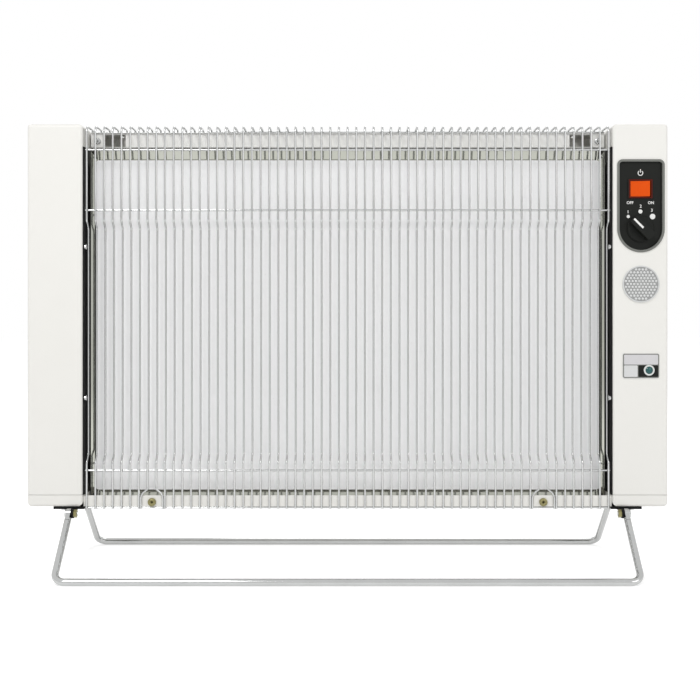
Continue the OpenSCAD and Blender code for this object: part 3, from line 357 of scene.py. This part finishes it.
guardLow, guardHigh = corners("left_guard_wires")
wireCount, wireRadius, wireGap = 61, 1.3, 0.02
wirePitch = -(guardLow[0] + wireRadius) / ((wireCount - 1) / 2)
guardLook = {  # heights above the underside
    "front": guardLow[1] + wireRadius, "foot": guardLow[2], "top": guardHigh[2] - wireRadius,
    "recess": 9.0, "low": 61.5, "high": 361.5,  # the step back and the middles of both steps
    "stepEase": 2.0, "topBend": 7.0, "topSteps": 8, "footCuts": 12, "sides": 10,
    # the wires beside a screw stop short of their neighbours
    "screw": middle("right_guard_screw")[0], "spread": wirePitch - 2 * wireRadius - wireGap,
    "spreadTop": 23.0, "spreadFoot": 14.0,
}


def arc(centre, radius, first, last, steps):
    turns = [first + (last - first) * i / steps for i in range(steps + 1)]
    return [(centre[0] + radius * math.cos(math.radians(t)),
             centre[1] + radius * math.sin(math.radians(t))) for t in turns]


def easedCorner(before, corner, after, cut, steps=4):  # a corner rounded from cut to cut
    def toward(other):
        reach = math.dist(other, corner)
        return [c + (o - c) * cut / reach for o, c in zip(other, corner)]
    first, last = toward(before), toward(after)
    return [tuple((1 - t) ** 2 * a + 2 * t * (1 - t) * c + t * t * b
                  for a, c, b in zip(first, corner, last))
            for t in (i / steps for i in range(steps + 1))]


def guardPath(look):  # side view of one wire, from its foot to the rear bar
    half, bend = look["recess"] / 2, look["topBend"]
    low, high, foot, top = look["low"], look["high"], look["foot"], look["top"]
    front, back = look["front"], look["front"] + look["recess"]
    path = [(front, foot + i * (low - half - foot) / look["footCuts"])
            for i in range(look["footCuts"])]
    turns = [(front, foot), (front, low - half), (back, low + half),
             (back, high - half), (front, high + half), (front, top)]
    for before, corner, after in zip(turns, turns[1:], turns[2:]):
        path += easedCorner(before, corner, after, look["stepEase"])
    path += arc((front + bend, top - bend), bend, 180, 90, look["topSteps"])
    path.append((0.0, top))
    return [(0, y * mm, height(z)) for y, z in path]


def guardTree():
    group, tree, given = startRule("guard wires", {
        "Count": "Int", "Pitch": "Float", "Wire Radius": "Float", "Sides": "Int",
        "Screw": "Float", "Spread": "Float", "Spread Top": "Float", "Spread Foot": "Float",
        "Finish": "Material"})
    line = tree.add("GeometryNodeMeshToCurve", None, {"Mesh": given["Geometry"]})
    firstX = (given["Count"] - 1) * given["Pitch"] * -0.5
    start = tree.add("ShaderNodeCombineXYZ", None, {"X": firstX})
    step = tree.add("ShaderNodeCombineXYZ", None, {"X": given["Pitch"]})
    row = tree.add("GeometryNodeMeshLine", None,
                   {"Count": given["Count"], "Start Location": start, "Offset": step})
    wires = tree.add("GeometryNodeInstanceOnPoints", None, {"Points": row, "Instance": line})
    wires = tree.add("GeometryNodeRealizeInstances", None, {"Geometry": wires})
    place = tree.add("GeometryNodeInputPosition")
    x = tree.add("ShaderNodeSeparateXYZ", None, {"Vector": place}, out=0)
    z = tree.add("ShaderNodeSeparateXYZ", None, {"Vector": place}, out=2)
    past = x.math("ABSOLUTE") - given["Screw"]
    beside = past.math("ABSOLUTE") < given["Pitch"] * 0.75  # one wire on each side of a screw
    way = past.math("SIGN") * x.math("SIGN")
    drop = tree.add("ShaderNodeMapRange", {"interpolation_type": "SMOOTHSTEP"},
                    {"Value": z, "From Min": given["Spread Top"],
                     "From Max": given["Spread Foot"]})
    shift = tree.add("ShaderNodeCombineXYZ", None,
                     {"X": beside * way * drop * given["Spread"]})
    wires = tree.add("GeometryNodeSetPosition", None, {"Geometry": wires, "Offset": shift})
    ring = tree.add("GeometryNodeCurvePrimitiveCircle", None,
                    {"Resolution": given["Sides"], "Radius": given["Wire Radius"]})
    solid = tree.add("GeometryNodeCurveToMesh", None,
                     {"Curve": wires, "Profile Curve": ring, "Fill Caps": True})
    endRule(tree, solid, given["Finish"])
    return group


wireMesh = grow("guard_uprights", lineMesh("guard_line", guardPath(guardLook)), guardTree(), {
    "Count": wireCount, "Pitch": wirePitch * mm, "Wire Radius": wireRadius * mm,
    "Sides": guardLook["sides"], "Screw": guardLook["screw"] * mm,
    "Spread": guardLook["spread"] * mm, "Spread Top": height(guardLook["spreadTop"]),
    "Spread Foot": height(guardLook["spreadFoot"]), "Finish": finishes["chrome"]})
newPiece("guard_uprights", wireMesh, "chrome",
         stands=("left_guard_wires", "middle_guard_wires", "right_guard_wires"))
print("guard wires:", len(wireMesh.polygons), "faces")


def mergeParts(name, parts):  # one mesh of several
    whole = bmesh.new()
    for mesh in parts:
        whole.from_mesh(mesh)
    return newMesh(name, whole)


def facing(x, y, z):  # from the XY plane to the front plane, facing the viewer
    toFront = Matrix.Rotation(math.pi / 2, 4, "X")
    return Matrix.Translation((x * mm, y * mm, height(z))) @ toFront


def wordMesh(text, size, bold, x, y, z, rise):
    curve = bpy.data.curves.new("word", "FONT")
    curve.body, curve.size = text, size * mm
    curve.align_x, curve.align_y = "CENTER", "CENTER"
    curve.extrude, curve.offset = rise / 2 * mm, bold * mm
    holder = bpy.data.objects.new("word", curve)
    scene.collection.objects.link(holder)
    mesh = bpy.data.meshes.new_from_object(
        holder.evaluated_get(bpy.context.evaluated_depsgraph_get()))
    bpy.data.objects.remove(holder)
    mesh.transform(facing(x, y, z))
    return mesh


def discMesh(radius, x, y, z, rise, sides=40):  # its front edge is a little smaller
    shape = bmesh.new()
    bmesh.ops.create_cone(shape, cap_ends=True, segments=sides, radius1=radius * mm,
                          radius2=(radius - rise * 0.3) * mm, depth=rise * mm)
    mesh = newMesh("disc", shape)
    mesh.transform(facing(x, y, z))
    return mesh


def bandMesh(outline, y, rise):  # a thin plate with the given front-view outline
    shape = bmesh.new()
    front = shape.faces.new([shape.verts.new((x * mm, y * mm, height(z)))
                             for x, z in outline])
    front.normal_update()
    if front.normal.y > 0:
        front.normal_flip()
    made = bmesh.ops.extrude_face_region(shape, geom=[front])
    moved = [v for v in made["geom"] if isinstance(v, bmesh.types.BMVert)]
    bmesh.ops.translate(shape, vec=(0, -rise * mm, 0), verts=moved)
    bmesh.ops.recalc_face_normals(shape, faces=shape.faces)
    return newMesh("band", shape)


def oblong(x0, x1, z0, z1):
    return [(x0, z0), (x1, z0), (x1, z1), (x0, z1)]


def ringMesh(centre, radius, width, y, rise, steps, first=0.0, last=360.0):
    shape = bmesh.new()
    closed = last - first >= 360
    section = [(radius - width, 0), (radius - width, rise), (radius, rise), (radius, 0)]
    rows = []
    for i in range(steps if closed else steps + 1):
        turn = math.radians(first + (last - first) * i / steps)
        rows.append([shape.verts.new(((centre[0] + r * math.cos(turn)) * mm, (y - d) * mm,
                                      height(centre[1] + r * math.sin(turn))))
                     for r, d in section])
    for a, b in zip(rows, rows[1:] + (rows[:1] if closed else [])):
        for k in range(4):
            shape.faces.new((a[k], a[(k + 1) % 4], b[(k + 1) % 4], b[k]))
    if not closed:
        shape.faces.new(rows[0])
        shape.faces.new(rows[-1])
    bmesh.ops.recalc_face_normals(shape, faces=shape.faces)
    return newMesh("ring", shape)


marksLook = {
    "rise": 0.1, "bold": 0.09,
    "words": [("OFF", 5.0, -13.3, 33.1), ("ON", 5.0, 13.5, 33.1),  # size and place from the dial
              ("1", 5.4, -15.9, 21.4), ("2", 5.4, 0.3, 28.6), ("3", 5.4, 14.6, 23.4)],
    "dotReach": 22.0, "dots": [(2.1, -45), (2.6, 0), (3.5, 45)],  # radius and turn
    "sign": 71.3, "signRadius": 3.5, "signLine": 0.95, "signSteps": 36,
    "signArc": (125, 415), "signBar": (0.4, 4.8),
}
dialX, _, dialZ = middle("selector_shaft")
signX, signZ = dialX, dialZ + marksLook["sign"]
rise, halfLine = marksLook["rise"], marksLook["signLine"] / 2
face = corners("control_plate")[0][1] - rise / 2
marks = [wordMesh(word, size, marksLook["bold"], dialX + x, face, dialZ + z, rise)
         for word, size, x, z in marksLook["words"]]
for radius, turn in marksLook["dots"]:
    marks.append(discMesh(radius, dialX + marksLook["dotReach"] * math.sin(math.radians(turn)),
                          face, dialZ + marksLook["dotReach"] * math.cos(math.radians(turn)),
                          rise))
marks.append(ringMesh((signX, signZ), marksLook["signRadius"], marksLook["signLine"], face,
                      rise, marksLook["signSteps"], *marksLook["signArc"]))
barFoot, barTop = marksLook["signBar"]
marks.append(bandMesh(oblong(signX - halfLine, signX + halfLine, signZ + barFoot,
                             signZ + barTop), face, rise))
newPiece("control_marks", mergeParts("control_marks", marks), "white_mark")

# painted shade: a dark red band on the edge of the button's housing stands in for the shaded
# sides of the orange button
shadeBandLook = {"width": 26.4, "height": 20.4, "line": 1.9, "rise": 0.12}
shadeBandX, _, shadeBandZ = middle("rocker_housing")
shadeBandFace = corners("rocker_housing")[0][1] + sink
inX, inZ = shadeBandLook["width"] / 2, shadeBandLook["height"] / 2
outX, outZ = inX + shadeBandLook["line"], inZ + shadeBandLook["line"]
shadeBand = [bandMesh(oblong(shadeBandX + x0, shadeBandX + x1, shadeBandZ + z0, shadeBandZ + z1),
                   shadeBandFace, shadeBandLook["rise"])
          for x0, x1, z0, z1 in [(-outX, outX, inZ, outZ), (-outX, outX, -outZ, -inZ),
                                 (-outX, -inX, -inZ, inZ), (inX, outX, -inZ, inZ)]]
newPiece("rocker_collar", mergeParts("rocker_collar", shadeBand), "orange_lens",
         extra="red_painted_side_shade")
print("marks printed")

badgeLow, badgeHigh = corners("round_badge")
badgeX, badgeFace, badgeZ = middle("round_badge")[0], badgeLow[1], middle("round_badge")[2]
badgeRadius = (badgeHigh[0] - badgeLow[0]) / 2
badgeLook = {
    "rim": 1.5, "rimRise": 0.5, "rimSink": 0.05, "rimSteps": 72,
    "groundRise": 0.3, "groundSides": 64,
    "knob": 1.85, "knobHeight": 0.45, "pitch": 4.3, "cells": 18, "margin": 3.2,
}


def badgeTree(look):  # flattened knobs in staggered rows, within a circle
    group, tree, given = startRule("badge knobs", {
        "Radius": "Float", "Pitch": "Float", "Knob": "Float", "Finish": "Material"})
    cells, rowShare = look["cells"], math.sqrt(3) / 2
    grid = tree.add("GeometryNodeMeshGrid", None, {
        "Size X": given["Pitch"] * cells, "Size Y": given["Pitch"] * (cells * rowShare),
        "Vertices X": cells + 1, "Vertices Y": cells + 1})
    place = tree.add("GeometryNodeInputPosition")
    y = tree.add("ShaderNodeSeparateXYZ", None, {"Vector": place}, out=1)
    row = (y / (given["Pitch"] * rowShare)).math("ROUND")
    odd = row.math("ABSOLUTE").math("MODULO", 2.0) > 0.5
    shift = tree.add("ShaderNodeCombineXYZ", None, {"X": odd * given["Pitch"] * 0.5})
    grid = tree.add("GeometryNodeSetPosition", None, {"Geometry": grid, "Offset": shift})
    reach = tree.add("ShaderNodeVectorMath", {"operation": "LENGTH"}, {0: place}, out=1)
    grid = tree.add("GeometryNodeDeleteGeometry", {"domain": "POINT"},
                    {"Geometry": grid, "Selection": reach > given["Radius"]})
    knob = tree.add("GeometryNodeMeshUVSphere", None,
                    {"Segments": 8, "Rings": 5, "Radius": given["Knob"]})
    knob = tree.add("GeometryNodeTransform", None,
                    {"Geometry": knob, "Scale": (1, 1, look["knobHeight"])})
    knobs = tree.add("GeometryNodeInstanceOnPoints", None, {"Points": grid, "Instance": knob})
    solid = tree.add("GeometryNodeRealizeInstances", None, {"Geometry": knobs})
    endRule(tree, solid, given["Finish"])
    return group


knobMesh = grow("badge_knobs", bpy.data.meshes.new("badge_seed"), badgeTree(badgeLook), {
    "Radius": (badgeRadius - badgeLook["margin"]) * mm, "Pitch": badgeLook["pitch"] * mm,
    "Knob": badgeLook["knob"] * mm, "Finish": finishes["badge"]})
knobMesh.transform(facing(badgeX, badgeFace, badgeZ))
badgeRim = ringMesh((badgeX, badgeZ), badgeRadius, badgeLook["rim"],
                    badgeFace + badgeLook["rimSink"], badgeLook["rimRise"],
                    badgeLook["rimSteps"])
# the mid-grey ground under the knobs paints shade into the gaps between them
badgeGroundGapShade = discMesh(badgeRadius - badgeLook["rim"], badgeX, badgeFace, badgeZ,
                       badgeLook["groundRise"], badgeLook["groundSides"])
newPiece("badge_ground", badgeGroundGapShade, "rim", extra="badge_ground")
newPiece("badge_face", mergeParts("badge_face", [knobMesh, badgeRim]), "badge")
print("badge:", len(knobMesh.polygons), "faces")

labelLook = {
    "rise": 0.12, "fieldLift": 0.1, "cornerSteps": 5,
    # sides, foot and top from the plate's middle, corner radius
    "border": (-23, 23, -15.4, 15.4, 2.2), "top": (-21.8, 21.8, 1.6, 14.2, 1.2),
    "left": (-21.8, -4.4, -14.2, 0.6, 1.2), "dark": (-3.4, 21.8, -14.2, 0.6, 1.2),
}
labelX, _, labelZ = middle("label_plate")
labelFace = corners("label_plate")[0][1] + sink


def labelField(key, lift):
    x0, x1, z0, z1, r = labelLook[key]
    outline = []
    for x, z, first in ((x1 - r, z1 - r, 0), (x0 + r, z1 - r, 90),
                        (x0 + r, z0 + r, 180), (x1 - r, z0 + r, 270)):
        outline += arc((labelX + x, labelZ + z), r, first, first + 90,
                       labelLook["cornerSteps"])
    return bandMesh(outline, labelFace - lift, labelLook["rise"])


newPiece("label_border", labelField("border", 0), "rim")
for key, slot, extra in (("top", "badge", "label_silver"), ("left", "badge", None),
                         ("dark", "black_plastic", None)):
    newPiece("label_" + key + "_field", labelField(key, labelLook["fieldLift"]), slot,
             extra=extra)
print("label plate filled")

screwLook = {
    "radius": 3.6, "rise": 0.7, "sides": 16, "recess": -0.1,
    "profile": [(1, 0), (0.93, 0.5), (0.7, 0.9), (0.42, 1)],  # shares of radius and rise
    "crossReach": 0.9, "crossWaist": 0.35,  # shares of the recess's mouth
    "sideSize": 0.95, "railSize": 1.08, "guardSize": 1.4,
}


def screwCap(look):  # domed head with a cross recess, in the XY plane, facing +Z
    shape = bmesh.new()
    sides = look["sides"]
    rows = []
    for radiusShare, riseShare in look["profile"]:
        r, z = look["radius"] * radiusShare, look["rise"] * riseShare
        rows.append([shape.verts.new((r * mm * math.cos(2 * math.pi * i / sides),
                                      r * mm * math.sin(2 * math.pi * i / sides), z * mm))
                     for i in range(sides)])
    floor = []
    for i, rim in enumerate(rows[-1]):
        share = look["crossReach"] if i % 4 == 0 else look["crossWaist"]
        floor.append(shape.verts.new((rim.co.x * share, rim.co.y * share,
                                      look["recess"] * mm)))
    rows.append(floor)
    for a, b in zip(rows, rows[1:]):
        for i in range(sides):
            shape.faces.new((a[i], a[(i + 1) % sides], b[(i + 1) % sides], b[i]))
    shape.faces.new(floor)
    shape.faces.new(list(reversed(rows[0])))
    bmesh.ops.recalc_face_normals(shape, faces=shape.faces)
    return newMesh("screw_cap", shape)


def capTree():
    group, tree, given = startRule("screw caps", {"Cap": "Object", "Finish": "Material"})
    way = tree.add("GeometryNodeInputNamedAttribute", {"data_type": "FLOAT_VECTOR"},
                   {"Name": "way"})
    size = tree.add("GeometryNodeInputNamedAttribute", {"data_type": "FLOAT"},
                    {"Name": "size"})
    turned = tree.add("FunctionNodeAlignRotationToVector", {"axis": "Z"}, {"Vector": way})
    cap = tree.add("GeometryNodeObjectInfo", None, {"Object": given["Cap"]}, out=4)
    caps = tree.add("GeometryNodeInstanceOnPoints", None, {
        "Points": given["Geometry"], "Instance": cap, "Rotation": turned, "Scale": size})
    solid = tree.add("GeometryNodeRealizeInstances", None, {"Geometry": caps})
    endRule(tree, solid, given["Finish"], smooth=False)
    return group


def screwRow(name, slot, places):  # places: point in millimetres, direction, size
    seed = bpy.data.meshes.new(name + "_points")
    seed.from_pydata([(x * mm, y * mm, height(z)) for (x, y, z), _, _ in places], [], [])
    seed.attributes.new("way", "FLOAT_VECTOR", "POINT").data.foreach_set(
        "vector", [c for _, way, _ in places for c in way])
    seed.attributes.new("size", "FLOAT", "POINT").data.foreach_set(
        "value", [size for _, _, size in places])
    cap = bpy.data.objects.new("cap", screwCap(screwLook))
    scene.collection.objects.link(cap)
    mesh = grow(name, seed, capTree(), {"Cap": cap, "Finish": finishes[slot]})
    bpy.data.objects.remove(cap)
    newPiece(name, mesh, slot)


def looseBoxes(node):  # corners of each loose part of a CAD node, as corners() gives them
    shape = bmesh.new()
    shape.from_mesh(cadNodes[node].data)
    bmesh.ops.remove_doubles(shape, verts=shape.verts, dist=1e-6)
    waiting, boxes = set(shape.verts), []
    while waiting:
        front = [waiting.pop()]
        group = list(front)
        while front:
            near = {e.other_vert(v) for v in front for e in v.link_edges} & waiting
            waiting -= near
            front = list(near)
            group += front
        ends = [[pick(v.co[i] for v in group) / mm for i in range(3)] for pick in (min, max)]
        boxes.append([(e[0], e[1], e[2] - underside) for e in ends])
    shape.free()
    return boxes


def heads(node, axis, outward, size):  # a cap on each screw of a node, on the end that shows
    places = []
    for low, high in looseBoxes(node):
        spot = [(a + b) / 2 for a, b in zip(low, high)]
        way = [0, 0, 0]
        way[axis] = outward or (-1 if spot[0] > 0 else 1)  # 0 faces the heater's middle
        spot[axis] = high[axis] if way[axis] > 0 else low[axis]
        places.append((spot, way, size))
    return places


railSize, guardSize = screwLook["railSize"], screwLook["guardSize"]
caps = heads("side_plate_screws", 0, 0, screwLook["sideSize"])
caps += heads("top_rail_screws", 1, -1, railSize)
caps += heads("rear_cover_screws", 1, 1, railSize)
caps += heads("bracket_screws", 2, -1, railSize)
screwRow("screw_caps", "chrome", caps)
screwRow("guard_screw_caps", "zinc", heads("left_guard_screw", 1, -1, guardSize)
         + heads("right_guard_screw", 1, -1, guardSize))
print("screws capped")

stageLook = {
    "floor": (0.88, 0.88, 0.88), "floorReach": 14, "floorGlow": 0.45, "worldLevel": 0.64,
    "aim": (0, 0, 0.3),
    "lamps": {  # place, width and depth in metres, watts
        "key": ((-0.75, -1.9, 1.9), (0.7, 0.7), 22),
        "fill": ((1.6, -1.9, 1.2), (1.2, 1.2), 8),
        "back": ((0.3, 1.9, 2.2), (1.6, 1.0), 14),
    },
}


def seenPlain(tree):  # 1 on the rays that show the pale background
    rays = tree.nodes.new("ShaderNodeLightPath").outputs
    direct, mirrored, through = [Wire(tree, rays[name]) for name in (
        "Is Camera Ray", "Is Glossy Ray", "Is Transmission Ray")]
    return direct + mirrored + through


def stageFloor():
    reach = stageLook["floorReach"]
    mesh = bpy.data.meshes.new("floor")
    mesh.from_pydata([(-reach, -reach, 0), (reach, -reach, 0), (reach, reach, 0),
                      (-reach, reach, 0)], [], [(0, 1, 2, 3)])
    floor = bpy.data.objects.new("floor", mesh)
    scene.collection.objects.link(floor)
    material = bpy.data.materials.new("floor")
    material.use_nodes = True
    material.node_tree.nodes.clear()
    tree = Tree(material.node_tree)
    matte = tree.add("ShaderNodeBsdfDiffuse", None, {"Color": (*stageLook["floor"], 1)})
    glow = tree.add("ShaderNodeEmission", None,
                    {"Strength": stageLook["floorGlow"] * seenPlain(tree)})
    both = tree.add("ShaderNodeAddShader", None, {0: matte, 1: glow})
    tree.add("ShaderNodeOutputMaterial", None, {"Surface": both})
    mesh.materials.append(material)


def stageSky():
    sky = bpy.data.worlds.new("studio")
    scene.world = sky
    sky.use_nodes = True
    sky.node_tree.nodes.clear()
    tree = Tree(sky.node_tree)
    seen = seenPlain(tree).math("MINIMUM", 1.0)
    strength = seen + (1 - seen) * stageLook["worldLevel"]
    plain = tree.add("ShaderNodeBackground", None,
                     {"Color": (1, 1, 1, 1), "Strength": strength})
    tree.add("ShaderNodeOutputWorld", None, {"Surface": plain})


def softbox(name, place, size, power):
    light = bpy.data.lights.new(name, "AREA")
    light.shape, light.size, light.size_y = "RECTANGLE", size[0], size[1]
    light.energy = power
    lamp = bpy.data.objects.new(name, light)
    scene.collection.objects.link(lamp)
    lamp.location = place
    aim = Vector(stageLook["aim"]) - Vector(place)
    lamp.rotation_euler = aim.to_track_quat("-Z", "Y").to_euler()


stageFloor()
stageSky()
for name, lampLook in stageLook["lamps"].items():
    softbox(name, *lampLook)
print("stage lit")
